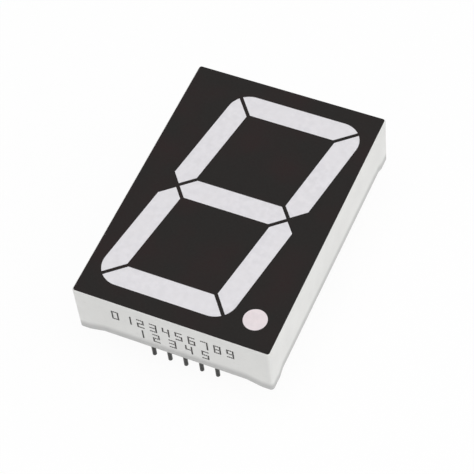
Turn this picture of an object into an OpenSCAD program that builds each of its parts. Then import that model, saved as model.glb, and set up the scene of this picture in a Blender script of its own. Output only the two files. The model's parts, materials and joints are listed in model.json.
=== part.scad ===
// Single-digit seven segment display for through-hole mounting.
// A white reflector housing with a black front mask holds seven bar lights and a decimal point.
// Each light is a clouded resin window over chips on a circuit board, and the board carries two rows of pins.
// The origin is the middle of the plane that the four corner feet stand on: +X to the right of the digit,
// +Y up the digit, +Z out of the front face.

/* [Housing] */
// Width of the border between the digit and the housing's long sides
side_border = 1.4; // [1.3:0.05:4]
// Width of the border between the digit and the housing's short sides
end_border = 2.95; // [2.8:0.05:6]
// Height from the feet to the front face
housing_depth = 9.2; // [8.4:0.1:12]
// Thickness of the side walls
side_wall = 1; // [0.8:0.05:1.1]
// Thickness of the front plate under the mask
front_plate = 1.2; // [0.8:0.1:2]
// Radius of the upright corners
corner_radius = 0.5; // [0.3:0.1:1.5]
// Width of the break round the front edge
edge_break = 0.17; // [0.1:0.01:0.25]
// Thickness of the black mask on the front
mask_thickness = 0.1; // [0.05:0.01:0.2]

/* [Feet] */
// How far the corner feet reach below the rim
foot_height = 0.7; // [0.4:0.1:1.2]
// Length of each foot along the short sides
foot_width = 1.7; // [1.5:0.1:4]
// Length of the ramp from a foot up to the rim on those sides
foot_ramp_width = 2.4; // [0.4:0.1:3]
// Length of each foot along the long sides
foot_length = 2.4; // [1.5:0.1:8]
// Length of the ramp from a foot up to the rim on those sides
foot_ramp_length = 1.2; // [0.4:0.1:3]

/* [Digit] */
// Height of the digit
digit_height = 38.1; // [30:0.1:58]
// Width of the digit, measured level
digit_width = 21.1; // [18:0.1:34]
// Width of the segments
stroke = 3.5; // [3:0.1:4]
// Gap between neighbouring segments
segment_gap = 0.54; // [0.3:0.02:0.7]
// Radius of the digit's outer corners
digit_corner = 3.4; // [2:0.1:4]
// Lean of the digit, in degrees
slant = 9.7; // [0:0.1:10]
// Diameter of the decimal point
point_diameter = 3.5; // [3:0.1:3.8]
// Gap between the decimal point and the digit, measured level
point_gap = 1.72; // [1.3:0.02:2]

/* [Reflector] */
// Width that each cavity loses along a wall on its way from the mask to the board
cavity_inset = 0.6; // [0.3:0.05:0.7]
// Thickness of a reflector wall at the front
reflector_wall = 0.45; // [0.3:0.05:0.6]

/* [Circuit board] */
// Thickness of the board
board_thickness = 1.6; // [1:0.1:2]
// Clearance between the board's edge and the side walls
board_clearance = 0.2; // [0.1:0.05:0.4]
// Thickness of the resin below the board
resin_cover = 0.9; // [0.7:0.1:1.2]
// How far the resin stops short of the rim
resin_recess = 0.2; // [0.1:0.1:0.5]
// Thickness of the copper
copper_thickness = 0.035; // [0.018:0.001:0.07]
// Width of the tracks under the board
track_width = 0.4; // [0.25:0.05:0.6]
// Diameter of the copper pad round each pin
pin_pad = 1.6; // [1.2:0.1:1.8]
// Diameter of the hole where a track passes through the board
via_diameter = 0.4; // [0.3:0.05:0.5]
// Diameter of the copper pad round each of those holes
via_pad = 0.9; // [0.7:0.1:1]
// Distance of the outermost tracks from the board's edge
track_margin = 1.3; // [0.8:0.1:1.6]

/* [Pins] */
// Distance between neighbouring pins
pin_pitch = 2.54; // [2.5:0.01:2.6]
// Distance from a row of pins to the side wall beside it
row_inset = 1.5; // [1.45:0.05:1.6]
// Diameter of a pin below the resin
pin_diameter = 0.65; // [0.5:0.05:0.65]
// Length of a pin below the feet
pin_length = 5.8; // [3:0.1:8]
// Height of the bevel at a pin's tip
pin_bevel = 0.1; // [0.05:0.01:0.15]
// Diameter of a pin where it is fixed in the board
shank_diameter = 1; // [0.98:0.01:1.05]
// How far a pin stands above the board
pin_head = 0.4; // [0.2:0.1:0.8]
// Clearance round a pin's head in the housing
head_clearance = 0.2; // [0.1:0.05:0.3]
// Height of the solder cone round a pin
solder_height = 0.4; // [0.2:0.05:0.6]
// Width of that cone at the board
solder_width = 0.3; // [0.2:0.01:0.35]
// Width of that cone at its tip
solder_tip = 0.06; // [0.03:0.01:0.1]

/* [Chips] */
// Width of a light-emitting chip
chip_width = 0.3; // [0.2:0.05:0.4]
// Height of a light-emitting chip
chip_height = 0.2; // [0.1:0.01:0.3]
// Distance from a chip to the nearest end of its segment's centre line
chip_inset = 4.5; // [4:0.1:5.5]
// Distance from a chip to the place where its bond wire lands
wire_span = 0.7; // [0.6:0.02:0.8]
// Diameter of a bond wire
wire_diameter = 0.04; // [0.03:0.005:0.05]
// Diameter of the ball where a bond wire starts
ball_diameter = 0.1; // [0.08:0.01:0.12]
// Height of that ball
ball_height = 0.04; // [0.03:0.01:0.06]
// Width of the copper pads under the chips
chip_pad = 0.9; // [0.7:0.05:1]
// Width of the two copper pads under the decimal point
point_pad = 0.6; // [0.5:0.05:0.7]
// How far a pad reaches past the middle of what stands on it
pad_reach = 0.25; // [0.2:0.01:0.28]
// Distance from the end of a segment's floor to the hole through the board
hole_inset = 1.7; // [1.2:0.1:2]
// The same distance under the decimal point
point_hole_inset = 0.4; // [0.35:0.01:0.5]

/* [Hidden] */
$fn = 32;
past = 1;

SEGMENTS = ["a", "b", "c", "d", "e", "f", "g"];
LIGHTS = concat(SEGMENTS, ["point"]);
CHIPS = [for (s = SEGMENTS, i = [1, 2]) [s, i]];
PIN_COUNT = 10;
ROW_PINS = PIN_COUNT / 2;

// Pin that feeds each light, and the two pins that all lights share
SIGNAL_PINS = [["a", 7], ["b", 6], ["c", 4], ["d", 2], ["e", 1], ["f", 9], ["g", 10], ["point", 5]];
COMMON_PINS = [3, 8];

// Heights above the feet, from the back of the part to its front
rim_z = foot_height;
resin_z = rim_z + resin_recess;
board_z = resin_z + resin_cover;
board_top_z = board_z + board_thickness;
mask_z = housing_depth - mask_thickness;
plate_z = mask_z - front_plate;
pin_tip_z = -pin_length;

// Half sizes and centre lines of the digit, standing upright
half_width = digit_width / 2;
half_height = digit_height / 2;
post_x = half_width - stroke / 2;
bar_y = half_height - stroke / 2;
point_y = point_diameter / 2 - half_height;

lean_width = digit_height * tan(slant);
point_x = half_width + point_y * tan(slant) + point_gap + point_diameter / 2;

housing_width = digit_width + lean_width + 2 * side_border;
housing_length = digit_height + 2 * end_border;
inner_width = housing_width - 2 * side_wall;
inner_length = housing_length - 2 * side_wall;
board_width = inner_width - 2 * board_clearance;
board_length = inner_length - 2 * board_clearance;
lane_x = board_width / 2 - track_margin;
row_y = inner_length / 2 - row_inset;

// ---- plane geometry ----

// A point of the upright digit, leaned over
function lean(p) = [p[0] + p[1] * tan(slant), p[1]];

function arc(centre, radius, from, to, steps = 8) =
  [for (i = [0:steps]) let (t = from + (to - from) * i / steps) centre + radius * [cos(t), sin(t)]];

function reversed(points) = [for (i = [len(points) - 1:-1:0]) points[i]];

// The points turned half a turn about the digit's middle
function turned(points) = [for (p = points) -p];

// Shift along x or y that leaves half the gap beside a mitre, for an outline grown by that much.
// A mitre runs up to the right for 1, and up to the left for -1.
function mitre(side, grow) = (segment_gap / 2 - grow) * norm([side + tan(slant), 1]);

// Middle of the digit's rounded upper corner, on the right for 1 and on the left for -1
function corner_centre(side, grow) =
  let (y = half_height - digit_corner)
  [side * (half_width + grow - (digit_corner + grow) / cos(slant)) + y * tan(slant), y];

// Angle at which that corner's curve meets the gap, on the bar's side for 1 and on the post's side for -1
function corner_end(side, grow, on_bar) =
  let (
    angle = atan2(1, side + tan(slant)),
    from_tip = corner_centre(side, grow) - lean([side * half_width, half_height]),
    off_line = cos(angle) * from_tip[1] - sin(angle) * from_tip[0]
  )
  angle + asin((side * on_bar * (segment_gap / 2 - grow) - off_line) / (digit_corner + grow));

function corner_curve(side, grow, from, to) =
  arc(corner_centre(side, grow), digit_corner + grow, from, to);

// Segment a: a bar with mitred ends and rounded outer corners
function bar_outline(grow) =
  let (y = half_height - stroke - grow, x = half_width - stroke - grow)
  concat(
    [lean([x - mitre(1, grow), y])],
    corner_curve(1, grow, corner_end(1, grow, 1), 90),
    corner_curve(-1, grow, 90, corner_end(-1, grow, 1)),
    [lean([mitre(-1, grow) - x, y])]
  );

// Segment b on the right or f on the left: a post with a pointed lower end
function post_outline(side, grow) =
  let (
    half = stroke / 2 + grow,
    inward = mitre(-side, grow),
    outward = mitre(side, grow),
    tip = lean([side * (post_x + (inward - outward) / 2), (inward + outward) / 2]),
    outer = lean([side * (post_x + half), half + outward]),
    inner = lean([side * (post_x - half), half + inward]),
    inner_top = lean([side * (post_x - half), half_height - stroke - grow - outward])
  )
  side > 0 ?
    concat([tip, outer], corner_curve(side, grow, -slant, corner_end(side, grow, -1)), [inner_top, inner]) :
    concat([tip, inner, inner_top], corner_curve(side, grow, corner_end(side, grow, -1), 180 - slant), [outer]);

// Segment g: a bar with two pointed ends
function middle_outline(grow) =
  let (
    half = stroke / 2 + grow,
    upper = mitre(-1, grow),
    lower = mitre(1, grow),
    right = [
      lean([post_x - lower - half, -half]),
      lean([post_x - (upper + lower) / 2, (lower - upper) / 2]),
      lean([post_x - upper - half, half])
    ]
  )
  concat(right, turned(right));

// The outline of a segment, grown outwards by that much
function segment_outline(name, grow = 0) =
  name == "a" ? bar_outline(grow) :
  name == "b" ? post_outline(1, grow) :
  name == "c" ? turned(post_outline(-1, grow)) :
  name == "d" ? turned(bar_outline(grow)) :
  name == "e" ? turned(post_outline(1, grow)) :
  name == "f" ? post_outline(-1, grow) :
  middle_outline(grow);

// 1 on the right or upper half of the digit, -1 on the left or lower half
function side_of(name) = name == "b" || name == "c" ? 1 : -1;
function end_of(name) = name == "a" || name == "b" || name == "f" ? 1 : -1;

// ---- where things are ----

function centre_of(name) =
  name == "point" ? [point_x, point_y] :
  name == "g" ? [0, 0] :
  name == "a" || name == "d" ? lean([0, end_of(name) * bar_y]) :
  lean([side_of(name) * post_x, end_of(name) * bar_y / 2]);

// Direction along a light from its shared end to its own pin's end
function direction_of(name) =
  name == "a" ? 0 :
  name == "d" || name == "g" || name == "point" ? 180 :
  end_of(name) > 0 ? 90 - slant : 270 - slant;

function along(name, distance) =
  centre_of(name) + distance * [cos(direction_of(name)), sin(direction_of(name))];

// Half the length of a segment's centre line
function half_run(name) = name == "a" || name == "d" || name == "g" ? post_x : bar_y / 2 / cos(slant);

// Places along a light's own centre line: its chips, and the hole at each end
function chip_at(name, index) =
  name == "point" ? -wire_span / 2 : (index == 1 ? -1 : 1) * (half_run(name) - chip_inset);
function hole_at(name) =
  name == "point" ? point_diameter / 2 - cavity_inset - point_hole_inset :
  half_run(name) - mitre(1, -cavity_inset) - hole_inset;
function shared_hole(name) = along(name, -hole_at(name));
function own_hole(name) = along(name, hole_at(name));

// Pins run 1 to 5 along the lower row and 6 to 10 back along the upper row
function pin_place(n) =
  let (lower = n <= ROW_PINS, step = lower ? n - 1 : PIN_COUNT - n)
  [(step - (ROW_PINS - 1) / 2) * pin_pitch, (lower ? -1 : 1) * row_y];
function pin_of(name) = [for (s = SIGNAL_PINS) if (s[0] == name) pin_place(s[1])][0];

// ---- shared shapes ----

function rounded_outline(width, length, radius) = [
  for (corner = [[1, 1], [-1, 1], [-1, -1], [1, -1]])
    let (
      start = corner[1] > 0 ? (corner[0] > 0 ? 0 : 90) : (corner[0] < 0 ? 180 : 270),
      centre = [corner[0] * (width / 2 - radius), corner[1] * (length / 2 - radius)]
    )
    each arc(centre, radius, start, start + 90)
];

// The housing's outline, or one that runs inside it by that much
function housing_outline(inset = 0) =
  rounded_outline(housing_width - 2 * inset, housing_length - 2 * inset, corner_radius - inset);

// A solid through rings of points: each ring is [points, height], from the lowest up
module loft(rings) {
  count = len(rings[0][0]);
  points = [for (ring = rings, p = ring[0]) [p[0], p[1], ring[1]]];
  base = [for (i = [0:count - 1]) i];
  lid = reversed([for (i = base) (len(rings) - 1) * count + i]);
  sides = [
    for (k = [0:len(rings) - 2], i = base)
    let (a = k * count + i, b = k * count + (i + 1) % count)
    each [[a, a + count, b + count], [a, b + count, b]]
  ];
  polyhedron(points = points, faces = concat([base], sides, [lid]));
}

// The tapering space of a light, with straight sides from the mask on
module light_space(name, top) {
  if (name == "point")
    translate(concat(centre_of(name), [0])) {
      translate([0, 0, board_top_z])
        cylinder(d1 = point_diameter - 2 * cavity_inset, d2 = point_diameter, h = mask_z - board_top_z);
      translate([0, 0, mask_z]) cylinder(d = point_diameter, h = top - mask_z);
    }
  else
    loft([
      [segment_outline(name, -cavity_inset), board_top_z],
      [segment_outline(name), mask_z],
      [segment_outline(name), top]
    ]);
}

module light_face(name, grow = 0) {
  if (name == "point")
    translate(centre_of(name)) circle(d = point_diameter + 2 * grow);
  else
    polygon(segment_outline(name, grow));
}

// Children drawn along a light's centre line, on the board
module at_light(name) {
  translate(concat(centre_of(name), [board_top_z])) rotate([0, 0, direction_of(name)]) children();
}

module at_pins(first, last) {
  for (n = [first:last]) translate(concat(pin_place(n), [0])) children();
}

// ---- housing and mask ----

// The space under the feet's arches, right across one pair of walls
module arch(span, slope, across) {
  profile = [
    [-span / 2, -past], [span / 2, -past], [span / 2, 0],
    [span / 2 - slope, foot_height], [slope - span / 2, foot_height], [-span / 2, 0]
  ];
  rotate([90, 0, 0]) linear_extrude(across, center = true) polygon(profile);
}

module housing() {
  color([0.87, 0.87, 0.86]) difference() {
    union() {
      difference() {
        loft([
          [housing_outline(), 0],
          [housing_outline(), mask_z - edge_break],
          [housing_outline(edge_break), mask_z]
        ]);
        translate([0, 0, (plate_z - past) / 2])
          cube([inner_width, inner_length, plate_z + past], center = true);
      }
      for (s = LIGHTS)
        translate([0, 0, board_top_z])
          linear_extrude(plate_z - board_top_z + front_plate / 2) light_face(s, reflector_wall);
    }
    for (s = LIGHTS) light_space(s, mask_z + past);
    arch(housing_width - 2 * foot_width, foot_ramp_width, housing_length + past);
    rotate([0, 0, 90])
      arch(housing_length - 2 * foot_length, foot_ramp_length, housing_width + past);
    at_pins(1, PIN_COUNT)
      translate([0, 0, board_top_z - past])
        cylinder(d = shank_diameter + 2 * head_clearance, h = past + pin_head + head_clearance);
  }
}

module front_mask() {
  color([0.17, 0.165, 0.16]) translate([0, 0, mask_z]) linear_extrude(mask_thickness) difference() {
    polygon(housing_outline(edge_break));
    for (s = LIGHTS) light_face(s);
  }
}

// ---- lights ----

module window(name) {
  color([0.89, 0.885, 0.9]) difference() {
    light_space(name, housing_depth);
    light_pads(name);
    for (i = [1:chip_count(name)]) {
      chip(name, i);
      bond_wire(name, i);
    }
  }
}

function chip_count(name) = name == "point" ? 1 : 2;

module chip(name, index) {
  color([0.75, 0.2, 0.15]) at_light(name)
    translate([chip_at(name, index), 0, copper_thickness + chip_height / 2])
      cube([chip_width, chip_width, chip_height], center = true);
}

// A ball on the chip, an arch, and a leg down to the next pad
module bond_wire(name, index) {
  reach = wire_span / 2;
  leg = chip_height + ball_height;
  color([0.9, 0.75, 0.3]) at_light(name)
    translate([chip_at(name, index), 0, copper_thickness]) {
      translate([0, 0, chip_height]) cylinder(d = ball_diameter, h = ball_height);
      translate([reach, 0, leg]) rotate([90, 0, 0])
        rotate_extrude(angle = 180) translate([reach, 0]) circle(d = wire_diameter);
      translate([wire_span, 0, 0]) cylinder(d = wire_diameter, h = leg);
    }
}

// One flat pad from one place to another along a light's centre line
module chip_pad_between(from, to, width) {
  translate([from, -width / 2, 0]) cube([to - from, width, copper_thickness]);
}

// Pads in a row, each from the foot of one wire to past the next chip
module light_pads(name) {
  count = chip_count(name);
  width = name == "point" ? point_pad : chip_pad;
  end = name == "point" ? pad_reach : via_diameter / 2 + pad_reach;
  at_light(name) for (i = [0:count]) {
    from = i == 0 ? -hole_at(name) - end : chip_at(name, i) + wire_span - pad_reach;
    to = i == count ? hole_at(name) + end : chip_at(name, i + 1) + pad_reach;
    chip_pad_between(from, to, width);
  }
}

// ---- circuit board ----

module circuit_board() {
  color([0.8, 0.78, 0.6]) difference() {
    translate([0, 0, board_z + board_thickness / 2])
      cube([board_width, board_length, board_thickness], center = true);
    at_pins(1, PIN_COUNT)
      translate([0, 0, board_z - past]) cylinder(d = shank_diameter, h = board_thickness + 2 * past);
    for (s = LIGHTS, p = [shared_hole(s), own_hole(s)])
      translate(concat(p, [board_z - past])) cylinder(d = via_diameter, h = board_thickness + 2 * past);
  }
}

module upper_copper() {
  color([0.85, 0.55, 0.3]) for (s = LIGHTS) light_pads(s);
}

function unit(v) = v / norm(v);
function left_of(v) = [-v[1], v[0]];

// A path with each of its corners cut off at that distance
function eased(path, cut) = [
  path[0],
  for (i = [1:1:len(path) - 2])
    each [path[i] + cut * unit(path[i - 1] - path[i]), path[i] + cut * unit(path[i + 1] - path[i])],
  path[len(path) - 1]
];

// Sideways step at a point of a path, for a ribbon of width 2
function side_step(path, i) =
  let (
    before = left_of(unit(path[max(i, 1)] - path[max(i, 1) - 1])),
    after = left_of(unit(path[min(i + 1, len(path) - 1)] - path[min(i + 1, len(path) - 1) - 1]))
  )
  (before + after) / (1 + before * after);

module ribbon(path, width) {
  left = [for (i = [0:len(path) - 1]) path[i] + side_step(path, i) * width / 2];
  right = [for (i = [0:len(path) - 1]) path[i] - side_step(path, i) * width / 2];
  polygon(concat(right, reversed(left)));
}

// Route of each light's own track, from its pin to the hole under its far end
function route_of(name) =
  let (
    from = pin_of(name),
    to = own_hole(name),
    between_pins = from[0] - sign(from[1]) * pin_pitch / 2
  )
  name == "a" || name == "d" ? [from, [from[0], to[1]], to] :
  name == "c" || name == "f" ? [from, [between_pins, from[1]], [between_pins, to[1]], to] :
  name == "g" ? [from, [-lane_x, from[1]], [-lane_x, to[1]], to] :
  [from, [to[0], from[1]], to];

// Route of the shared track to a light, from the spine between the two shared pins
function shared_route_of(name) =
  let (to = shared_hole(name), start = shared_hole("c"))
  name == "point" ? [start, [lane_x, start[1]], [lane_x, to[1]], to] : [[0, to[1]], to];

module lower_tracks() {
  cut = pin_pitch / 4;
  ribbon([pin_place(COMMON_PINS[0]), pin_place(COMMON_PINS[1])], track_width);
  for (s = LIGHTS) {
    ribbon(eased(route_of(s), cut), track_width);
    ribbon(eased(shared_route_of(s), cut), track_width);
  }
}

// The tracks and pads as one flat shape, not yet pierced by the pins
module lower_pattern() {
  lower_tracks();
  for (n = [1:PIN_COUNT]) translate(pin_place(n)) circle(d = pin_pad);
  for (s = LIGHTS, p = [shared_hole(s), own_hole(s)]) translate(p) circle(d = via_pad);
}

module lower_copper() {
  color([0.85, 0.55, 0.3]) {
    translate([0, 0, board_z - copper_thickness]) linear_extrude(copper_thickness) difference() {
      lower_pattern();
      for (n = [1:PIN_COUNT]) translate(pin_place(n)) circle(d = shank_diameter);
    }
    for (s = LIGHTS, p = [shared_hole(s), own_hole(s)])
      translate(concat(p, [board_z])) cylinder(d = via_diameter, h = board_thickness);
  }
}

// ---- pins, solder and resin ----

module pin(n) {
  color([0.55, 0.55, 0.55]) translate(pin_place(n)) {
    translate([0, 0, resin_z]) cylinder(d = shank_diameter, h = board_top_z + pin_head - resin_z);
    translate([0, 0, pin_tip_z + pin_bevel]) cylinder(d = pin_diameter, h = resin_z - pin_tip_z - pin_bevel);
    translate([0, 0, pin_tip_z])
      cylinder(d1 = pin_diameter - 2 * pin_bevel, d2 = pin_diameter, h = pin_bevel);
  }
}

// A cone of solder under the board, round a pin
module solder_cone() {
  inner = shank_diameter / 2;
  translate([0, 0, board_z - copper_thickness - solder_height])
    cylinder(r1 = inner + solder_tip, r2 = inner + solder_width, h = solder_height);
}

module solder_row(first, last) {
  color([0.75, 0.75, 0.76]) at_pins(first, last) difference() {
    solder_cone();
    translate([0, 0, resin_z]) cylinder(d = shank_diameter, h = board_z - resin_z);
  }
}

// The resin fills what the board, its copper and the soldered pins leave free behind the board
module rear_resin() {
  color([0.8, 0.8, 0.72, 0.6]) difference() {
    translate([0, 0, (resin_z + board_top_z) / 2])
      cube([inner_width, inner_length, board_top_z - resin_z], center = true);
    translate([0, 0, board_z + board_thickness / 2 + past / 2])
      cube([board_width, board_length, board_thickness + past], center = true);
    translate([0, 0, board_z - copper_thickness])
      linear_extrude(copper_thickness + board_thickness / 2) lower_pattern();
    at_pins(1, PIN_COUNT) {
      solder_cone();
      translate([0, 0, resin_z - past])
        cylinder(d = shank_diameter, h = past + resin_cover + board_thickness / 2);
    }
  }
}

housing();
front_mask();
for (s = LIGHTS)
  window(s);
circuit_board();
upper_copper();
lower_copper();
for (c = CHIPS) {
  chip(c[0], c[1]);
  bond_wire(c[0], c[1]);
}
chip("point", 1);  // chip_point
bond_wire("point", 1);  // bond_wire_point
for (n = [1:PIN_COUNT])
  pin(n);
solder_row(1, ROW_PINS);  // solder_row_lower
solder_row(ROW_PINS + 1, PIN_COUNT);  // solder_row_upper
rear_resin();
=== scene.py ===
"""A single-digit seven segment display: its finishes, numerals, rear casting and a small studio."""

import json
import logging
import math
from abc import ABC, abstractmethod
from collections.abc import Callable, Iterable
from dataclasses import dataclass
from enum import Enum
from functools import cache

import bmesh
import bpy
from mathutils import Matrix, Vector


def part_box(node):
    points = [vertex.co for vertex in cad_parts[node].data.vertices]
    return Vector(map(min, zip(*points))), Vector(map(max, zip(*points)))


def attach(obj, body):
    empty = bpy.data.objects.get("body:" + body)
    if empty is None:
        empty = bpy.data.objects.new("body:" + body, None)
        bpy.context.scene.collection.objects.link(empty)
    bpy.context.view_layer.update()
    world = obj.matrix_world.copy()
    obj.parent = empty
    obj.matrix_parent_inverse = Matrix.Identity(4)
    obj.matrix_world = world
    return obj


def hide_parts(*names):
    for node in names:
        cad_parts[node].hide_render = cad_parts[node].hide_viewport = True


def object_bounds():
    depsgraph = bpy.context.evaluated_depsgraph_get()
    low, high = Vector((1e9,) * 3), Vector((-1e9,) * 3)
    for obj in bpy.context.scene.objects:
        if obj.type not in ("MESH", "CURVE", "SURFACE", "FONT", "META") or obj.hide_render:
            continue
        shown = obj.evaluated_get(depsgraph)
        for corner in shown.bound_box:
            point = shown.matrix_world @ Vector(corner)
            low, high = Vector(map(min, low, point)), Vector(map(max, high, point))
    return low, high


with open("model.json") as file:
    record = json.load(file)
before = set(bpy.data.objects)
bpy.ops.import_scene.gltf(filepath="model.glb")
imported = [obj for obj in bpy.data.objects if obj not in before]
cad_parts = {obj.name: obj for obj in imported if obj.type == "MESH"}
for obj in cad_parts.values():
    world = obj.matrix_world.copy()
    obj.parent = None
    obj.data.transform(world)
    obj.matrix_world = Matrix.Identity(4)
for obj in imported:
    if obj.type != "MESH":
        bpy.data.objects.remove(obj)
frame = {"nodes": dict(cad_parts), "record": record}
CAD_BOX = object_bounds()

MM = 0.001
ROOT = "root"

# Points of a mesh that are nearer than this are one point
MERGE_DISTANCE = 0.0005 * MM
# A face looks along an axis if its normal reaches at least this far along it
FACING = 0.9
# The full value of an sRGB channel
CHANNEL_TOP = 255
# The sRGB curve is straight up to its bend, and a power of a shifted value past it
CURVE_BEND, CURVE_SLOPE, CURVE_SHIFT, CURVE_POWER = 0.04045, 12.92, 0.055, 2.4

Socket = bpy.types.NodeSocket
Triple = tuple[float, float, float]

log = logging.getLogger("seven_segment_display")


class Slot(Enum):
    """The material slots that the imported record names."""

    HOUSING = "housing_plastic"
    MASK = "black_mask"
    WINDOW = "clouded_resin"
    LAMINATE = "board_laminate"
    COPPER = "copper"
    CHIP = "chip_crystal"
    WIRE = "bond_wire"
    PIN = "pin_metal"
    SOLDER = "solder"
    CASTING = "rear_resin"


class Wall(Enum):
    """The housing's two short walls, by the way that each one faces along Y."""

    LOWER = -1
    UPPER = 1


# ---- colour and shader wiring ----


def linear(channel: int) -> float:
    """Turn one sRGB channel into scene-linear light.

    Args:
        channel: The value from 0 to 255.

    Returns:
        The value from 0 to 1.
    """
    share = channel / CHANNEL_TOP
    if share <= CURVE_BEND:
        return share / CURVE_SLOPE
    return ((share + CURVE_SHIFT) / (1 + CURVE_SHIFT)) ** CURVE_POWER


@dataclass(frozen=True)
class Colour:
    """A surface colour in sRGB, each channel from 0 to 255."""

    red: int
    green: int
    blue: int

    def rgba(self) -> tuple[float, float, float, float]:
        """Give the colour as a shader socket takes it."""
        return linear(self.red), linear(self.green), linear(self.blue), 1.0

    def times(self, share: float) -> "Colour":
        """Give the same hue, darker or lighter by that share."""
        channels = (self.red, self.green, self.blue)
        return Colour(*(min(CHANNEL_TOP, round(channel * share)) for channel in channels))


@dataclass(frozen=True)
class Feet:
    """The corner feet that the housing's lower edge comes down to, with a ramp beside each."""

    height: float = 0.7 * MM
    width: float = 1.7 * MM
    ramp_width: float = 2.4 * MM
    length: float = 2.4 * MM
    ramp_length: float = 1.2 * MM


class Bench:
    """Wires the nodes of one material, with Object coordinates throughout."""

    # The mix node's two colour inputs and its colour output, by their index
    MIX_FIRST, MIX_SECOND, MIX_RESULT = 6, 7, 2
    # The wave texture's period at a scale of 1
    WAVE_PERIOD = math.tau / 20
    BEVEL_SAMPLES = 8

    def __init__(self, name: str) -> None:
        """Start a material with nothing but its shader and its output.

        Args:
            name: The material's name.
        """
        self.material = bpy.data.materials.new(name)
        self.material.use_nodes = True
        self.tree = self.material.node_tree
        self.shader = next(n for n in self.tree.nodes if n.type == "BSDF_PRINCIPLED")
        self.place = self.add("ShaderNodeTexCoord").outputs["Object"]

    def add(self, kind: str, **settings: object) -> bpy.types.ShaderNode:
        """Add a node.

        Args:
            kind: The node's type name.
            settings: The node's own properties.

        Returns:
            The new node.
        """
        node = self.tree.nodes.new(kind)
        for name, value in settings.items():
            setattr(node, name, value)
        return node

    def feed(self, socket: Socket, value: object) -> None:
        """Link a socket to another socket, or set it to a plain value.

        Args:
            socket: The input socket.
            value: An output socket, or the value.
        """
        if isinstance(value, Socket):
            self.tree.links.new(value, socket)
        else:
            socket.default_value = value

    def surface(self, **values: object) -> None:
        """Set or link the shader's sockets; an underscore in a name stands for a space."""
        for name, value in values.items():
            self.feed(self.shader.inputs[name.replace("_", " ")], value)

    def stretched(self, along: Triple) -> Socket:
        """Give coordinates in which patterns are drawn out.

        Args:
            along: How many times longer they are along each axis.

        Returns:
            The coordinates.
        """
        mapping = self.add("ShaderNodeMapping")
        self.feed(mapping.inputs["Vector"], self.place)
        self.feed(mapping.inputs["Scale"], tuple(1 / share for share in along))
        return mapping.outputs["Vector"]

    def noise(self, feature: float, detail: float = 2.0,
              place: Socket | None = None) -> Socket:
        """Add a soft random pattern.

        Args:
            feature: The size of its blotches, in metres.
            detail: How many finer layers it has.
            place: Coordinates other than the plain ones.

        Returns:
            The pattern, from 0 to 1 and mostly near the middle.
        """
        node = self.add("ShaderNodeTexNoise")
        self.feed(node.inputs["Vector"], place or self.place)
        self.feed(node.inputs["Scale"], 1 / feature)
        self.feed(node.inputs["Detail"], detail)
        return node.outputs[0]

    def cells(self, feature: float) -> Socket:
        """Add a pattern of round cells.

        Args:
            feature: The size of a cell, in metres.

        Returns:
            The distance from the nearest cell's middle, as a share of that size.
        """
        node = self.add("ShaderNodeTexVoronoi")
        self.feed(node.inputs["Vector"], self.place)
        self.feed(node.inputs["Scale"], 1 / feature)
        return node.outputs["Distance"]

    def bands(self, spacing: float, axis: str) -> Socket:
        """Add even bands across one axis.

        Args:
            spacing: The distance between them, in metres.
            axis: The axis, as X, Y or Z.

        Returns:
            The pattern, from 0 to 1.
        """
        node = self.add("ShaderNodeTexWave", wave_type="BANDS", bands_direction=axis)
        self.feed(node.inputs["Vector"], self.place)
        self.feed(node.inputs["Scale"], self.WAVE_PERIOD / spacing)
        return node.outputs[1]

    def span(self, value: Socket, low: float, high: float,
             start: float = 0.3, stop: float = 0.7) -> Socket:
        """Spread a pattern over a range.

        Args:
            value: The pattern.
            low: The result where the pattern is at start or under.
            high: The result where the pattern is at stop or over.
            start: Where the pattern's useful part begins.
            stop: Where it ends.

        Returns:
            The spread value.
        """
        node = self.add("ShaderNodeMapRange")
        for name, given in (("Value", value), ("From Min", start), ("From Max", stop),
                            ("To Min", low), ("To Max", high)):
            self.feed(node.inputs[name], given)
        return node.outputs["Result"]

    def combine(self, operation: str, first: Socket, second: object) -> Socket:
        """Join two values by arithmetic.

        Args:
            operation: The math node's name for it.
            first: The first value.
            second: The second value, as a socket or a number.

        Returns:
            The result.
        """
        node = self.add("ShaderNodeMath", operation=operation)
        self.feed(node.inputs[0], first)
        self.feed(node.inputs[1], second)
        return node.outputs[0]

    def blend(self, share: Socket, first: object, second: object) -> Socket:
        """Mix two colours.

        Args:
            share: How much of the second colour there is, from 0 to 1.
            first: A Colour, or a colour socket.
            second: A Colour, or a colour socket.

        Returns:
            The mixed colour.
        """
        node = self.add("ShaderNodeMix", data_type="RGBA")
        self.feed(node.inputs["Factor"], share)
        for index, colour in ((self.MIX_FIRST, first), (self.MIX_SECOND, second)):
            self.feed(node.inputs[index], colour.rgba() if isinstance(colour, Colour) else colour)
        return node.outputs[self.MIX_RESULT]

    def bump(self, height: Socket, depth: float, strength: float,
             over: Socket | None = None) -> Socket:
        """Turn a pattern into relief.

        Args:
            height: The pattern.
            depth: The relief's depth, in metres.
            strength: How much of it shows, from 0 to 1.
            over: A normal that the relief is laid over.

        Returns:
            The new normal.
        """
        node = self.add("ShaderNodeBump")
        self.feed(node.inputs["Height"], height)
        self.feed(node.inputs["Distance"], depth)
        self.feed(node.inputs["Strength"], strength)
        if over is not None:
            self.feed(node.inputs["Normal"], over)
        return node.outputs["Normal"]

    def softened_edges(self, radius: float) -> Socket:
        """Soften the look of a form's sharp edges.

        Args:
            radius: The radius that they seem to have, in metres.

        Returns:
            The softened normal.
        """
        node = self.add("ShaderNodeBevel", samples=self.BEVEL_SAMPLES)
        self.feed(node.inputs["Radius"], radius)
        return node.outputs["Normal"]

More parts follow.
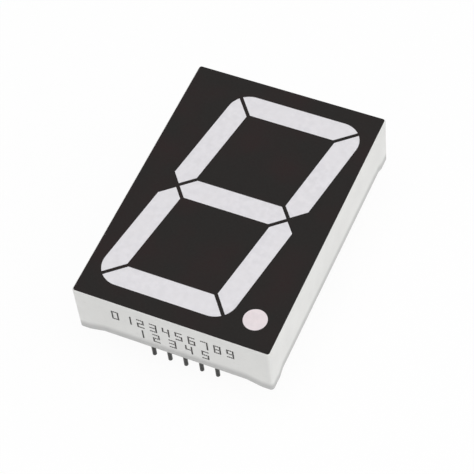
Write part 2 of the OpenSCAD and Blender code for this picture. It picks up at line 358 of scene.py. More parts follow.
    def over_lower_edge(self, feet: Feet) -> Socket:
        """Give the height over the housing's lower edge, which comes down at the corner feet.

        Args:
            feet: The feet.

        Returns:
            The height, in metres.
        """
        axes = self.add("ShaderNodeSeparateXYZ")
        self.feed(axes.inputs[0], self.place)
        rims = []
        for axis, half, flat, ramp in (("X", CAD_BOX[1].x, feet.width, feet.ramp_width),
                                       ("Y", CAD_BOX[1].y, feet.length, feet.ramp_length)):
            reach = self.combine("ABSOLUTE", axes.outputs[axis], 0.0)
            rims.append(self.span(reach, feet.height, 0.0, half - flat - ramp, half - flat))
        return self.combine("SUBTRACT", axes.outputs["Z"], self.combine("MAXIMUM", *rims))


# ---- finishes ----


@dataclass(frozen=True)
class Finish(ABC):
    """One finish of the display's pieces."""

    name: str
    colour: Colour

    @abstractmethod
    def wire(self, bench: Bench) -> None:
        """Wire the finish's own nodes.

        Args:
            bench: The material that is being made.
        """


@cache
def material_of(finish: Finish) -> bpy.types.Material:
    """Make a finish's material once and hand it out from then on.

    Args:
        finish: The finish.

    Returns:
        Its material.
    """
    bench = Bench(finish.name)
    finish.wire(bench)
    return bench.material


@dataclass(frozen=True)
class MouldedPlastic(Finish):
    """White reflector plastic with a spark-eroded grain, faint flow marks and painted shade along
    its lower edge.
    """

    grain: float = 0.14 * MM
    grain_depth: float = 0.007 * MM
    relief: float = 0.45
    drift: float = 5 * MM
    drift_shade: float = 0.975
    flow: float = 5 * MM / 3
    flow_drawn: Triple = (1, 1, 6)
    flow_relief: float = 2.0
    speck: float = 0.42 * MM
    speck_start: float = 0.62
    speck_stop: float = 0.8
    speck_cover: float = 0.35
    speck_shade: float = 0.93
    smooth: float = 0.42
    dull: float = 0.56
    specular: float = 0.4
    translucence: float = 0.06
    scatter: Triple = (1.0, 1.0, 0.95)
    scatter_depth: float = 0.3 * MM
    edge_radius: float = 0.3 * MM
    feet: Feet = Feet()
    # Painted shade along the lower edge: full up to the first height over the edge, gone by the
    # second, and the share by which it darkens the plastic
    greyed: float = 0.8 * MM
    greyed_fade: float = 1.8 * MM
    greyed_shade: float = 0.84

    def wire(self, bench: Bench) -> None:
        """Wire shade drift, flow marks, grain, soft edges and a painted shade along the lower edge.

        Args:
            bench: The material that is being made.
        """
        drift = bench.span(bench.noise(self.drift, detail=3), 0.0, 1.0)
        flow_marks = bench.noise(self.flow, detail=4, place=bench.stretched(self.flow_drawn))
        grain = bench.noise(self.grain, detail=3)
        marks = bench.combine("MULTIPLY", flow_marks, self.flow_relief)
        relief = bench.combine("ADD", grain, marks)
        drifted = bench.blend(drift, self.colour, self.colour.times(self.drift_shade))
        specks = bench.span(bench.noise(self.speck, detail=1), 0.0, self.speck_cover,
                            self.speck_start, self.speck_stop)
        speckled = bench.blend(specks, drifted, self.colour.times(self.speck_shade))
        # Painted shade: the base colour darkens towards the housing's lower edge and its feet
        painted_shade = bench.span(bench.over_lower_edge(self.feet), 1.0, 0.0,
                             self.greyed, self.greyed_fade)
        soft = bench.softened_edges(self.edge_radius)
        bench.surface(
            Base_Color=bench.blend(painted_shade, speckled, self.colour.times(self.greyed_shade)),
            Roughness=bench.span(flow_marks, self.smooth, self.dull),
            Specular_IOR_Level=self.specular,
            Subsurface_Weight=self.translucence,
            Subsurface_Radius=self.scatter,
            Subsurface_Scale=self.scatter_depth,
            Normal=bench.bump(relief, self.grain_depth, self.relief, soft),
        )


@dataclass(frozen=True)
class ScreenInk(Finish):
    """Matt black ink, printed through a mesh, with a slight drift of hue."""

    warm: Colour
    patch: float = 7 * MM
    patch_start: float = 0.42
    patch_stop: float = 0.68
    mesh_pitch: float = 0.16 * MM
    mesh_relief: float = 0.18
    mottle: float = 0.352 * MM
    mottle_cover: float = 0.55
    mottle_shade: float = 1.14
    sheen: float = 1.75 * MM
    smooth: float = 0.55
    dull: float = 0.61
    specular: float = 0.08
    film_depth: float = 0.003 * MM
    relief: float = 0.4

    def wire(self, bench: Bench) -> None:
        """Wire the mesh's print, pinholes, the drift of hue and the dull sheen.

        Args:
            bench: The material that is being made.
        """
        drift = bench.span(bench.noise(self.patch, detail=2), 0.0, 1.0,
                           self.patch_start, self.patch_stop)
        across, along = bench.bands(self.mesh_pitch, "X"), bench.bands(self.mesh_pitch, "Y")
        weave = bench.combine("MULTIPLY", bench.combine("ADD", across, along), self.mesh_relief)
        mottle = bench.noise(self.mottle, detail=4)
        ink = bench.blend(drift, self.colour, self.warm)
        pale = bench.span(mottle, 0.0, self.mottle_cover)
        sheen = bench.noise(self.sheen, detail=3)
        bench.surface(
            Base_Color=bench.blend(pale, ink, self.colour.times(self.mottle_shade)),
            Roughness=bench.span(sheen, self.smooth, self.dull),
            Specular_IOR_Level=self.specular,
            Normal=bench.bump(bench.combine("ADD", mottle, weave), self.film_depth, self.relief),
        )


@dataclass(frozen=True)
class CloudedResin(Finish):
    """Milky epoxy that was poured against a flat film, with fine clouds of diffuser in it."""

    cloud: float = 0.9 * MM
    cloud_start: float = 0.36
    cloud_stop: float = 0.64
    cloud_shade: float = 0.96
    drift: float = 5.4 * MM
    drift_cover: float = 0.7
    drift_shade: float = 0.985
    skin: float = 0.18 * MM
    skin_depth: float = 0.004 * MM
    relief: float = 0.4
    smooth: float = 0.3
    dull: float = 0.42
    refraction: float = 1.52
    translucence: float = 0.22
    scatter: Triple = (1.0, 0.96, 0.92)
    scatter_depth: float = 0.35 * MM

    def wire(self, bench: Bench) -> None:
        """Wire the clouds, the fine diffuser grain and the satin skin.

        Args:
            bench: The material that is being made.
        """
        clouds = bench.span(bench.noise(self.cloud, detail=5), 0.0, 1.0,
                            self.cloud_start, self.cloud_stop)
        drift = bench.span(bench.noise(self.drift, detail=2), 0.0, self.drift_cover)
        milk = bench.blend(clouds, self.colour, self.colour.times(self.cloud_shade))
        skin = bench.noise(self.skin, detail=3)
        bench.surface(
            Base_Color=bench.blend(drift, milk, self.colour.times(self.drift_shade)),
            Roughness=bench.span(skin, self.smooth, self.dull),
            IOR=self.refraction,
            Subsurface_Weight=self.translucence,
            Subsurface_Radius=self.scatter,
            Subsurface_Scale=self.scatter_depth,
            Normal=bench.bump(skin, self.skin_depth, self.relief),
        )


@dataclass(frozen=True)
class GlassLaminate(Finish):
    """Pale board laminate in which the glass cloth shows."""

    thread: float = 0.42 * MM
    thread_share: float = 0.5
    thread_depth: float = 0.01 * MM
    relief: float = 0.3
    cloth_cover: float = 0.8
    cloth_shade: float = 1.09
    blotch: float = 4 * MM
    blotch_shade: float = 0.94
    smooth: float = 0.45
    dull: float = 0.6

    def wire(self, bench: Bench) -> None:
        """Wire the cloth's two thread directions, resin blotches and a smooth skin.

        Args:
            bench: The material that is being made.
        """
        warp, weft = bench.bands(self.thread, "X"), bench.bands(self.thread, "Y")
        cloth = bench.combine("MULTIPLY", bench.combine("ADD", warp, weft), self.thread_share)
        blotches = bench.span(bench.noise(self.blotch, detail=3), 0.0, 1.0)
        resin = bench.blend(blotches, self.colour, self.colour.times(self.blotch_shade))
        shown = bench.span(cloth, 0.0, self.cloth_cover)
        bench.surface(
            Base_Color=bench.blend(shown, resin, self.colour.times(self.cloth_shade)),
            Roughness=bench.span(cloth, self.smooth, self.dull),
            Normal=bench.bump(cloth, self.thread_depth, self.relief),
        )


@dataclass(frozen=True)
class Metal(Finish):
    """Bare, drawn or plated metal with tarnish."""

    tarnish: Colour
    smooth: float = 0.28
    dull: float = 0.5
    feature: float = 0.3 * MM
    drawn: Triple = (1, 1, 1)
    depth: float = 0.006 * MM
    relief: float = 0.5
    patch_ratio: float = 4.0
    patch_start: float = 0.4
    patch_stop: float = 0.66

    def wire(self, bench: Bench) -> None:
        """Wire tarnish, drawing marks and uneven polish.

        Args:
            bench: The material that is being made.
        """
        marks = bench.noise(self.feature, detail=4, place=bench.stretched(self.drawn))
        blotches = bench.noise(self.feature * self.patch_ratio, detail=3)
        patches = bench.span(blotches, 0.0, 1.0, self.patch_start, self.patch_stop)
        bench.surface(
            Base_Color=bench.blend(patches, self.colour, self.tarnish),
            Metallic=1.0,
            Roughness=bench.span(marks, self.smooth, self.dull),
            Normal=bench.bump(marks, self.depth, self.relief),
        )


@dataclass(frozen=True)
class SawnCrystal(Finish):
    """A light-emitting chip: dark red crystal with saw marks on its sides."""

    saw_pitch: float = 0.02 * MM
    saw_depth: float = 0.002 * MM
    relief: float = 0.4
    flaw: float = 0.08 * MM
    flaw_shade: float = 0.8
    smooth: float = 0.2
    dull: float = 0.45
    coat: float = 0.3

    def wire(self, bench: Bench) -> None:
        """Wire the saw marks and the crystal's gloss.

        Args:
            bench: The material that is being made.
        """
        saw = bench.bands(self.saw_pitch, "Z")
        flaws = bench.span(bench.noise(self.flaw, detail=2), 0.0, 1.0)
        bench.surface(
            Base_Color=bench.blend(flaws, self.colour, self.colour.times(self.flaw_shade)),
            Roughness=bench.span(saw, self.smooth, self.dull, 0.0, 1.0),
            Coat_Weight=self.coat,
            Normal=bench.bump(saw, self.saw_depth, self.relief),
        )


@dataclass(frozen=True)
class CastResin(Finish):
    """Pourable epoxy: half clear, slightly cloudy and glossy, with a few fine bubbles."""

    body: float = 0.34
    cloud: float = 3.5 * MM
    cloud_shade: float = 0.95
    bubble: float = 1.1 * MM
    bubble_start: float = 0.04
    bubble_stop: float = 0.13
    bubble_relief: float = 0.25
    bubble_cover: float = 0.6
    bubble_shade: float = 1.08
    wave: float = 2.6 * MM
    wave_depth: float = 0.03 * MM
    relief: float = 0.35
    smooth: float = 0.16
    dull: float = 0.27
    refraction: float = 1.53

    def wire(self, bench: Bench) -> None:
        """Wire the cloud, the bubbles and the skin's slow waves.

        Args:
            bench: The material that is being made.
        """
        cloud = bench.span(bench.noise(self.cloud, detail=4), 0.0, 1.0)
        bubbles = bench.span(bench.cells(self.bubble), 1.0, 0.0,
                             self.bubble_start, self.bubble_stop)
        domes = bench.combine("MULTIPLY", bubbles, self.bubble_relief)
        skin = bench.combine("ADD", bench.noise(self.wave, detail=2), domes)
        tint = bench.blend(cloud, self.colour, self.colour.times(self.cloud_shade))
        glints = bench.combine("MULTIPLY", bubbles, self.bubble_cover)
        bench.surface(
            Base_Color=bench.blend(glints, tint, self.colour.times(self.bubble_shade)),
            Roughness=bench.span(cloud, self.smooth, self.dull),
            IOR=self.refraction,
            Alpha=self.body,
            Normal=bench.bump(skin, self.wave_depth, self.relief),
        )


WHITE_PLASTIC = MouldedPlastic("white_reflector_plastic", Colour(229, 229, 227))
BLACK_INK = ScreenInk("matt_black_ink", Colour(38, 36, 35), warm=Colour(44, 35, 35))
MILKY_RESIN = CloudedResin("milky_resin", Colour(232, 230, 234))
BLUSHED_RESIN = CloudedResin("blushed_resin", Colour(238, 227, 230))
PALE_LAMINATE = GlassLaminate("pale_glass_laminate", Colour(206, 198, 150))
COPPER_FOIL = Metal("copper_foil", Colour(214, 138, 92), tarnish=Colour(176, 104, 70))
GOLD_WIRE = Metal("gold_bond_wire", Colour(240, 200, 112), tarnish=Colour(222, 178, 92),
                  smooth=0.15, dull=0.3, feature=0.03 * MM, depth=0.001 * MM)
DULL_TIN = Metal("dull_tinned_wire", Colour(76, 76, 75), tarnish=Colour(56, 56, 55),
                 smooth=0.34, dull=0.5, feature=0.12 * MM, drawn=(1, 1, 14), depth=0.004 * MM)
SATIN_SOLDER = Metal("satin_solder", Colour(186, 187, 190), tarnish=Colour(160, 161, 165),
                     smooth=0.25, dull=0.45, feature=0.18 * MM)
RED_CRYSTAL = SawnCrystal("red_crystal", Colour(158, 72, 58))
CLOUDY_CASTING = CastResin("cloudy_casting_resin", Colour(212, 208, 188))


# ---- modelling helpers ----


def deselect() -> None:
    """Leave nothing selected, so that the next operator acts on one piece."""
    if bpy.context.mode != "OBJECT":
        bpy.ops.object.mode_set(mode="OBJECT")
    bpy.ops.object.select_all(action="DESELECT")


def take(piece: bpy.types.Object) -> None:
    """Make one piece the only selected and the active one.

    Args:
        piece: The piece.
    """
    deselect()
    piece.select_set(True)
    bpy.context.view_layer.objects.active = piece


def choose_faces(piece: bpy.types.Object, wanted: Callable[[bmesh.types.BMFace], bool]) -> None:
    """Open a piece in edit mode with only some of its faces selected.

    Args:
        piece: The piece, whose mesh is in its final place.
        wanted: Says whether a face is chosen.
    """
    take(piece)
    bpy.ops.object.mode_set(mode="EDIT")
    bpy.ops.mesh.select_mode(type="FACE")
    bpy.ops.mesh.select_all(action="DESELECT")
    mesh = bmesh.from_edit_mesh(piece.data)
    for face in mesh.faces:
        face.select_set(wanted(face))
    mesh.select_flush_mode()
    bmesh.update_edit_mesh(piece.data)


def settle(piece: bpy.types.Object, name: str) -> bpy.types.Object:
    """Name a piece and put its place, turn and scale into its mesh.

    Args:
        piece: The piece.
        name: Its name.

    Returns:
        The same piece, at the origin.
    """
    take(piece)
    bpy.ops.object.transform_apply(location=True, rotation=True, scale=True)
    piece.name = piece.data.name = name
    return piece


def close_up(piece: bpy.types.Object) -> None:
    """Merge a piece's doubled points and turn its faces outwards.

    Args:
        piece: The piece.
    """
    take(piece)
    bpy.ops.object.mode_set(mode="EDIT")
    bpy.ops.mesh.select_all(action="SELECT")
    bpy.ops.mesh.remove_doubles(threshold=MERGE_DISTANCE)
    bpy.ops.mesh.normals_make_consistent(inside=False)
    bpy.ops.object.mode_set(mode="OBJECT")


def join(pieces: list[bpy.types.Object]) -> bpy.types.Object:
    """Join pieces into the first of them.

    Args:
        pieces: The pieces.

    Returns:
        The joined piece.
    """
    take(pieces[0])
    for piece in pieces:
        piece.select_set(True)
    bpy.ops.object.join()
    return bpy.context.object


def apply_modifiers(piece: bpy.types.Object) -> None:
    """Make every modifier of a piece part of its mesh.

    Args:
        piece: The piece.
    """
    take(piece)
    for modifier in list(piece.modifiers):
        bpy.ops.object.modifier_apply(modifier=modifier.name)


def copy_at(pattern: bpy.types.Object, place: Vector) -> bpy.types.Object:
    """Copy a piece with its own mesh.

    Args:
        pattern: The piece to copy.
        place: How far the copy is moved.

    Returns:
        The copy.
    """
    twin = pattern.copy()
    twin.data = pattern.data.copy()
    twin.location = pattern.location + place
    bpy.context.scene.collection.objects.link(twin)
    return twin


def wear(piece: bpy.types.Object, finish: Finish) -> None:
    """Give every face of a piece one finish.

    Args:
        piece: The piece.
        finish: The finish.
    """
    piece.data.materials.clear()
    piece.data.materials.append(material_of(finish))


def middle_of(node: str) -> Vector:
    """Give the middle of a CAD node's box.

    Args:
        node: The node's name.

    Returns:
        The middle, in metres.
    """
    low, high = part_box(node)
    return (low + high) / 2


# ---- the display's sub-assemblies ----


@dataclass
class SubAssembly(ABC):
    """A group of pieces that are built and finished together."""

    @abstractmethod
    def build(self) -> list[bpy.types.Object]:
        """Build and dress the group.

        Returns:
            Its pieces.
        """

    def nodes_in(self, slot: Slot) -> list[str]:
        """Name the CAD nodes that the record puts in a slot.

        Args:
            slot: The slot.

        Returns:
            Their names.
        """
        parts = frame["record"]["subparts"]
        return [part["node"] for part in parts if part["material_slot"] == slot.value]

    def dress(self, slot: Slot, finish: Finish) -> list[bpy.types.Object]:
        """Give a slot's CAD nodes their finish, with their forms as they are.

        Args:
            slot: The slot.
            finish: The finish.

        Returns:
            The dressed nodes.
        """
        pieces = [frame["nodes"][name] for name in self.nodes_in(slot)]
        for piece in pieces:
            wear(piece, finish)
        return pieces

    def fit(self, piece: bpy.types.Object, slot: Slot, finish: Finish) -> bpy.types.Object:
        """Finish a new piece and fix it to the display's body.

        Args:
            piece: The new piece, settled.
            slot: Not used.
            finish: The finish.

        Returns:
            The same piece.
        """
        wear(piece, finish)
        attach(piece, ROOT)
        return piece


@dataclass
class Shell(SubAssembly):
    """The white housing and the black mask on its front."""

    plastic: Finish = WHITE_PLASTIC
    ink: Finish = BLACK_INK

    def build(self) -> list[bpy.types.Object]:
        """Dress the housing and the mask."""
        return self.dress(Slot.HOUSING, self.plastic) + self.dress(Slot.MASK, self.ink)


@dataclass
class Lights(SubAssembly):
    """The eight windows with the chips and bond wires that they hold."""

    point: str = "window_point"
    resin: Finish = MILKY_RESIN
    point_resin: Finish = BLUSHED_RESIN
    crystal: Finish = RED_CRYSTAL
    wire: Finish = GOLD_WIRE

    def build(self) -> list[bpy.types.Object]:
        """Dress windows, chips and wires, and blush the decimal point a little.

        Returns:
            All of them.
        """
        windows = self.dress(Slot.WINDOW, self.resin)
        wear(frame["nodes"][self.point], self.point_resin)
        return windows + self.dress(Slot.CHIP, self.crystal) + self.dress(Slot.WIRE, self.wire)


@dataclass
class Board(SubAssembly):
    """The circuit board with the copper on both of its faces."""

    laminate: Finish = PALE_LAMINATE
    foil: Finish = COPPER_FOIL

    def build(self) -> list[bpy.types.Object]:
        """Dress the laminate and the copper."""
        return self.dress(Slot.LAMINATE, self.laminate) + self.dress(Slot.COPPER, self.foil)


@dataclass
class Leads(SubAssembly):
    """The pins and the solder that holds them."""

    tin: Finish = DULL_TIN
    solder: Finish = SATIN_SOLDER

    def build(self) -> list[bpy.types.Object]:
        """Dress the pins and the solder."""
        return self.dress(Slot.PIN, self.tin) + self.dress(Slot.SOLDER, self.solder)


@dataclass
class RearCasting(SubAssembly):
    """The resin behind the board, with a meniscus at the walls and a collar round each pin."""

    board: str = "circuit_board"
    casting: str = "rear_resin"
    resin: Finish = CLOUDY_CASTING
    clearance: float = 0.02 * MM
    copper_thickness: float = 0.035 * MM
    # The meniscus in steps from the wall inwards: how wide each is, and how far it drops
    climb: tuple[tuple[float, float], ...] = (
        (0.1 * MM, 0.07 * MM), (0.18 * MM, 0.04 * MM), (0.3 * MM, 0.02 * MM))
    pin_radius: float = 0.325 * MM
    collar_foot: float = 0.46 * MM
    # A collar in rings up the pin: how far each stands off the pin, and off the resin's flat back
    collar_rings: tuple[tuple[float, float], ...] = (
        (0.46 * MM, -0.02 * MM), (0.27 * MM, 0.03 * MM), (0.15 * MM, 0.1 * MM),
        (0.07 * MM, 0.2 * MM), (0.025 * MM, 0.34 * MM))
    collar_sides: int = 28
    collar_root: float = 0.15 * MM
    smooth_under: float = 32.0

    def build(self) -> list[bpy.types.Object]:
        """Model the casting with its collars and put it in the plain solid's place.

        Returns:
            The casting alone.
        """
        body = self.block()
        self.pocket(body)
        self.meniscus(body)
        collar = self.collar()
        pins = [middle_of(name) for name in self.nodes_in(Slot.PIN)]
        collars = join([copy_at(collar, Vector((pin.x, pin.y, 0))) for pin in pins])
        bpy.data.objects.remove(collar)
        union = body.modifiers.new("collars", "BOOLEAN")
        union.operation = "UNION"
        union.solver = "EXACT"
        union.object = settle(collars, "collars")
        apply_modifiers(body)
        bpy.data.objects.remove(collars)
        close_up(body)
        piece = settle(body, "cast_rear_resin")
        take(piece)
        bpy.ops.object.shade_smooth_by_angle(angle=math.radians(self.smooth_under))
        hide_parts(self.casting)
        return [self.fit(piece, Slot.CASTING, self.resin)]

    def surface_height(self) -> float:
        """Give the height of the resin's flat back."""
        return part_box(self.casting)[0].z

    def block(self) -> bpy.types.Object:
        """Add the block that fills the housing's back.

        Returns:
            The block.
        """
        low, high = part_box(self.casting)
        deselect()
        bpy.ops.mesh.primitive_cube_add(size=1, location=(low + high) / 2, scale=high - low)
        return settle(bpy.context.object, "resin_block")

    def pocket(self, body: bpy.types.Object) -> None:
        """Sink the pocket that the board lies in, clear of the board and its copper.

        Args:
            body: The resin block.
        """
        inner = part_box(self.casting)[1]
        board_low, board_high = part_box(self.board)
        border = inner.x - board_high.x - self.clearance
        floor = board_low.z - self.copper_thickness - self.clearance
        choose_faces(body, lambda face: face.normal.z > FACING)
        bpy.ops.mesh.inset(thickness=border)
        bpy.ops.mesh.extrude_region_move(TRANSFORM_OT_translate={"value": (0, 0, floor - inner.z)})
        bpy.ops.object.mode_set(mode="OBJECT")

    def meniscus(self, body: bpy.types.Object) -> None:
        """Raise the resin's rim along the walls, step by step.

        Args:
            body: The resin block.
        """
        choose_faces(body, lambda face: face.normal.z < -FACING)
        rise = sum(step[1] for step in self.climb)
        bpy.ops.transform.translate(value=(0, 0, -rise))
        for width, drop in self.climb:
            bpy.ops.mesh.inset(thickness=width)
            bpy.ops.transform.translate(value=(0, 0, drop))
        bpy.ops.object.mode_set(mode="OBJECT")

    def collar(self) -> bpy.types.Object:
        """Model one collar at the origin's pin: a disc that is drawn out and narrowed ring by ring.

        Returns:
            The collar, to be copied.
        """
        top = self.surface_height() + self.collar_root
        radius = self.pin_radius + self.collar_foot
        deselect()
        bpy.ops.mesh.primitive_circle_add(vertices=self.collar_sides, radius=radius,
                                          fill_type="NGON", location=(0, 0, top))
        collar = settle(bpy.context.object, "collar")
        choose_faces(collar, lambda face: True)
        height = top
        for reach, proud in self.collar_rings:
            ring_height = self.surface_height() - proud
            rise = (0, 0, ring_height - height)
            bpy.ops.mesh.extrude_region_move(TRANSFORM_OT_translate={"value": rise})
            ratio = (self.pin_radius + reach) / radius
            bpy.ops.transform.resize(value=(ratio, ratio, 1), center_override=(0, 0, ring_height))
            radius, height = self.pin_radius + reach, ring_height
        close_up(collar)
        return collar


@dataclass(frozen=True)
class PrintedLine:
    """A line of numerals: its labels, the places of the first and the last, and its height."""

    numerals: tuple[str, ...]
    first: float
    last: float
    height: float


@dataclass
class Marking(SubAssembly):
    """Numerals in dots of ink on a short wall, each drawn as this display would show it."""

    wall: Wall
    lines: tuple[PrintedLine, ...]
    name: str
    ink: Finish = BLACK_INK
    dot: float = 0.28 * MM
    pitch: float = 0.29 * MM
    columns: int = 4
    rows: int = 7
    film: float = 0.012 * MM
    root: float = 0.02 * MM
    dot_sides: int = 10
    # The dot's rounded rim as a share of its width, and the crown's rise as a share of the film
    rim: float = 0.12
    crown: float = 0.4

    # The segments that are lit for each numeral
    SHOWN = {"0": "abcdef", "1": "bc", "2": "abdeg", "3": "abcdg", "4": "bcfg",
             "5": "acdfg", "6": "acdefg", "7": "abc", "8": "abcdefg", "9": "abcdfg"}

    def build(self) -> list[bpy.types.Object]:
        """Print every line and join its dots into one piece.

        Returns:
            That piece alone.
        """
        pattern = self.one_dot()
        dots = [copy_at(pattern, spot) for line in self.lines for spot in self.spots(line)]
        bpy.data.objects.remove(pattern)
        return [self.fit(settle(join(dots), self.name), Slot.MASK, self.ink)]

    def one_dot(self) -> bpy.types.Object:
        """Model one dot of ink on the wall's middle line, with a rounded rim.

        Returns:
            The dot, to be copied.
        """
        low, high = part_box(self.nodes_in(Slot.HOUSING)[0])
        face = low.y if self.wall is Wall.LOWER else high.y
        middle = face + self.wall.value * (self.film - self.root) / 2
        deselect()
        bpy.ops.mesh.primitive_cylinder_add(vertices=self.dot_sides, radius=self.dot / 2,
                                            depth=self.film + self.root, location=(0, middle, 0),
                                            rotation=(math.pi / 2, 0, 0))
        dot = settle(bpy.context.object, "ink_dot")
        choose_faces(dot, lambda surface: surface.normal.y * self.wall.value > FACING)
        bpy.ops.mesh.inset(thickness=self.dot * self.rim)
        bpy.ops.transform.translate(value=(0, self.wall.value * self.film * self.crown, 0))
        bpy.ops.object.mode_set(mode="OBJECT")
        return dot

    def cells_of(self, numeral: str) -> set[tuple[int, int]]:
        """Give the cells of the dot grid that a numeral fills.

        Args:
            numeral: One figure from 0 to 9.

        Returns:
            Column and row of each filled cell, from the lower left.
        """
        right, top, middle = self.columns - 1, self.rows - 1, (self.rows - 1) // 2
        level = {"a": top, "g": middle, "d": 0}
        upright = {"b": (right, middle), "c": (right, 0), "e": (0, 0), "f": (0, middle)}
        filled: set[tuple[int, int]] = set()
        for segment in self.SHOWN[numeral]:
            if segment in level:
                filled |= {(column, level[segment]) for column in range(self.columns)}
            else:
                column, bottom = upright[segment]
                filled |= {(column, bottom + step) for step in range(middle + 1)}
        return filled

    def spots(self, line: PrintedLine) -> Iterable[Vector]:
        """Give the place of every dot in a line, which reads from left to right to a viewer.

        Args:
            line: The line.

        Yields:
            Each dot's move from the pattern's place.
        """
        step = (line.last - line.first) / (len(line.numerals) - 1)
        across = -self.wall.value
        for index, label in enumerate(line.numerals):
            figure = (self.columns + 1) * self.pitch
            start = line.first + index * step - figure * (len(label) - 1) / 2
            for place, numeral in enumerate(label):
                for column, row in sorted(self.cells_of(numeral)):
                    x = start + place * figure + (column - (self.columns - 1) / 2) * self.pitch
                    z = line.height + (row - (self.rows - 1) / 2) * self.pitch
                    yield Vector((across * x, 0, z))


# ---- studio and camera ----


@dataclass(frozen=True)
class SoftLamp:
    """A square soft lamp that faces the display."""

    name: str
    azimuth: float
    elevation: float
    distance: float
    size: float
    power: float

    def hang(self, target: Vector) -> None:
        """Hang the lamp.

        Args:
            target: The point that it faces.
        """
        lamp = bpy.data.lights.new(self.name, "AREA")
        lamp.shape = "SQUARE"
        lamp.size = self.size
        lamp.energy = self.power
        fitting = bpy.data.objects.new(self.name, lamp)
        away = outwards(self.azimuth, self.elevation)
        fitting.location = target + away * self.distance
        fitting.rotation_euler = away.to_track_quat("Z", "Y").to_euler()
        bpy.context.scene.collection.objects.link(fitting)


def outwards(azimuth: float, elevation: float) -> Vector:
    """Give the direction from the display towards a viewer.

    Args:
        azimuth: Degrees round the display; 0 is in front of the lower wall, and 90 is on the right.
        elevation: Degrees above the horizon.

    Returns:
        A direction of length 1.
    """
    turn, rise = math.radians(azimuth), math.radians(elevation)
    level = math.cos(rise)
    return Vector((math.sin(turn) * level, -math.cos(turn) * level, math.sin(rise)))


@dataclass
class Studio:
    """A white floor under a soft white sky that is dimmer away from the window, with soft lamps."""

    floor_size: float = 3.0
    window_azimuth: float = 50.0
    sky_by_window: float = 0.72
    sky_far_side: float = 0.5
    floor_colour: Colour = Colour(250, 250, 250)
    floor_glow: float = 0.94
    lamps: tuple[SoftLamp, ...] = (
        SoftLamp("overhead_lamp", azimuth=38, elevation=72, distance=0.7, size=0.6, power=1.6),
        SoftLamp("side_lamp", azimuth=100, elevation=30, distance=0.7, size=0.6, power=0.9),
    )

    def build(self) -> None:
        """Set the colour view, then lay the floor, the sky and the lamps."""
        bpy.context.scene.view_settings.view_transform = "Standard"
        self.lay_floor()
        self.open_sky()
        centre = (CAD_BOX[0] + CAD_BOX[1]) / 2
        for lamp in self.lamps:
            lamp.hang(centre)

    @staticmethod
    def seen_directly(tree: bpy.types.NodeTree) -> Socket:
        """Tell the rays from the eye, from gloss or through glass from those that light things.

        Args:
            tree: The node tree to wire it in.

        Returns:
            1 on the former, and 0 on the latter.
        """
        path = tree.nodes.new("ShaderNodeLightPath")
        found = path.outputs["Is Camera Ray"]
        for name in ("Is Glossy Ray", "Is Transmission Ray"):
            either = tree.nodes.new("ShaderNodeMath")
            either.operation = "MAXIMUM"
            tree.links.new(found, either.inputs[0])
            tree.links.new(path.outputs[name], either.inputs[1])
            found = either.outputs[0]
        return found

    @staticmethod
    def mixed(tree: bpy.types.NodeTree, share: Socket, first: Socket, second: Socket) -> Socket:
        """Mix two shaders.

        Args:
            tree: The node tree to wire them in.
            share: How much of the second there is, from 0 to 1.
            first: The first shader.
            second: The second shader.

        Returns:
            The mixed shader.
        """
        mix = tree.nodes.new("ShaderNodeMixShader")
        for socket, value in zip(mix.inputs, (share, first, second)):
            tree.links.new(value, socket)
        return mix.outputs[0]

    def floor_material(self) -> bpy.types.Material:
        """Wire the floor: white to the eye but for part of the shadow, and clear from below.

        Returns:
            The material.
        """
        material = bpy.data.materials.new("studio_floor")
        material.use_nodes = True
        tree = material.node_tree
        tree.nodes.clear()
        matt = tree.nodes.new("ShaderNodeBsdfDiffuse")
        matt.inputs["Color"].default_value = self.floor_colour.rgba()
        glow = tree.nodes.new("ShaderNodeEmission")
        clear = tree.nodes.new("ShaderNodeBsdfTransparent")
        share = tree.nodes.new("ShaderNodeMath")
        share.operation = "MULTIPLY"
        share.inputs[1].default_value = self.floor_glow
        tree.links.new(self.seen_directly(tree), share.inputs[0])
        lit = self.mixed(tree, share.outputs[0], matt.outputs[0], glow.outputs[0])
        under = tree.nodes.new("ShaderNodeNewGeometry").outputs["Backfacing"]
        output = tree.nodes.new("ShaderNodeOutputMaterial")
        tree.links.new(self.mixed(tree, under, lit, clear.outputs[0]), output.inputs["Surface"])
        return material

    def lay_floor(self) -> None:
        """Lay the floor under the pins' tips."""
        deselect()
        bpy.ops.mesh.primitive_plane_add(size=self.floor_size, location=(0, 0, CAD_BOX[0].z))
        floor = settle(bpy.context.object, "studio_floor")
        floor.data.materials.append(self.floor_material())

    def open_sky(self) -> None:
        """Put a sky round everything, pure white to the eye and softer as a light."""
        world = bpy.data.worlds.new("studio_sky")
        world.use_nodes = True
        bpy.context.scene.world = world
        tree = world.node_tree
        background = next(n for n in tree.nodes if n.type == "BACKGROUND")
        background.inputs["Color"].default_value = (1, 1, 1, 1)
        towards = tree.nodes.new("ShaderNodeVectorMath")
        towards.operation = "DOT_PRODUCT"
        towards.inputs[1].default_value = outwards(self.window_azimuth, 0)
        place = tree.nodes.new("ShaderNodeTexCoord")
        tree.links.new(place.outputs["Generated"], towards.inputs[0])
        light = tree.nodes.new("ShaderNodeMapRange")
        for name, value in (("From Min", -1.0), ("From Max", 1.0),
                            ("To Min", self.sky_far_side), ("To Max", self.sky_by_window)):
            light.inputs[name].default_value = value
        tree.links.new(towards.outputs["Value"], light.inputs["Value"])
        strength = tree.nodes.new("ShaderNodeMix")
        strength.inputs["B"].default_value = 1.0
        tree.links.new(self.seen_directly(tree), strength.inputs["Factor"])
        tree.links.new(light.outputs["Result"], strength.inputs["A"])
        tree.links.new(strength.outputs["Result"], background.inputs["Strength"])


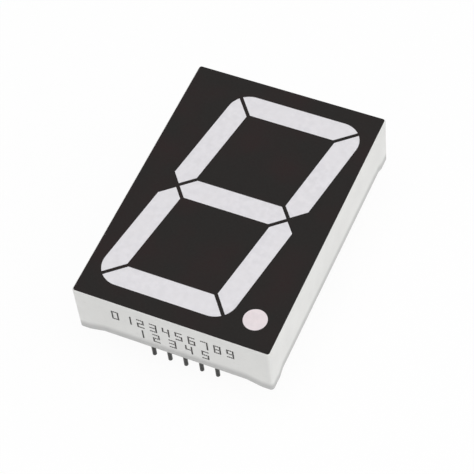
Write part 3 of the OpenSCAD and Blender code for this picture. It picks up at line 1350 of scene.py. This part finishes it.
@dataclass
class Viewpoint:
    """The camera: where it looks from, what it looks at and how it is tilted."""

    azimuth: float = 29.783
    elevation: float = 54.468
    roll: float = -7.374
    distance: float = 271.154 * MM
    aim_right: float = 3.068 * MM
    aim_up: float = -5.395 * MM
    lens: float = 144.749
    nearest: float = 10 * MM

    def build(self) -> None:
        """Set the camera up and make it the scene's own."""
        camera = bpy.data.objects.new("camera", bpy.data.cameras.new("camera"))
        camera.data.lens = self.lens
        camera.data.clip_start = self.nearest
        away = outwards(self.azimuth, self.elevation)
        camera.location = Vector((self.aim_right, self.aim_up, CAD_BOX[1].z)) + away * self.distance
        level = away.to_track_quat("Z", "Y").to_matrix()
        tilt = level.copy()
        angle = math.radians(self.roll)
        right, up = level.col[0], level.col[1]
        tilt.col[0] = right * math.cos(angle) + up * math.sin(angle)
        tilt.col[1] = up * math.cos(angle) - right * math.sin(angle)
        camera.rotation_euler = tilt.to_euler()
        bpy.context.scene.collection.objects.link(camera)
        bpy.context.scene.camera = camera


# ---- putting it together ----


def numerals(first: int, last: int) -> tuple[str, ...]:
    """Give whole numbers as labels.

    Args:
        first: The first of them.
        last: The last of them.

    Returns:
        The labels.
    """
    return tuple(str(number) for number in range(first, last + 1))


def pin_row_line(wall: Wall, height: float) -> PrintedLine:
    """Number the pins of one row, each number straight over its pin.

    Args:
        wall: The wall beside the row.
        height: The height of the line's middle.

    Returns:
        The line.
    """
    names = [name for name in frame["nodes"] if name.startswith("pin_")]
    row = [name for name in names if middle_of(name).y * wall.value > 0]
    numbers = sorted(int(name.removeprefix("pin_")) for name in row)
    reach = max(middle_of(name).x for name in row)
    return PrintedLine(numerals(numbers[0], numbers[-1]), -reach, reach, height)


def main() -> None:
    """Build the display's sub-assemblies in order, then the studio and the camera."""
    logging.basicConfig(level=logging.INFO, format="%(name)s: %(message)s")
    figures = PrintedLine(numerals(0, 9), first=-8.7 * MM, last=9.1 * MM, height=6.1 * MM)
    lower_pins, upper_pins = (pin_row_line(wall, height=3.5 * MM) for wall in Wall)
    assemblies: list[SubAssembly] = [
        Shell(),
        Lights(),
        Board(),
        Leads(),
        RearCasting(),
        Marking(Wall.LOWER, (figures, lower_pins), "lower_wall_numerals"),
        Marking(Wall.UPPER, (upper_pins,), "upper_wall_numerals"),
    ]
    for assembly in assemblies:
        group = type(assembly).__name__
        for piece in assembly.build():
            log.info("%s: %s, %d faces", group, piece.name, len(piece.data.polygons))
    Studio().build()
    Viewpoint().build()


if __name__ == "__main__":
    main()
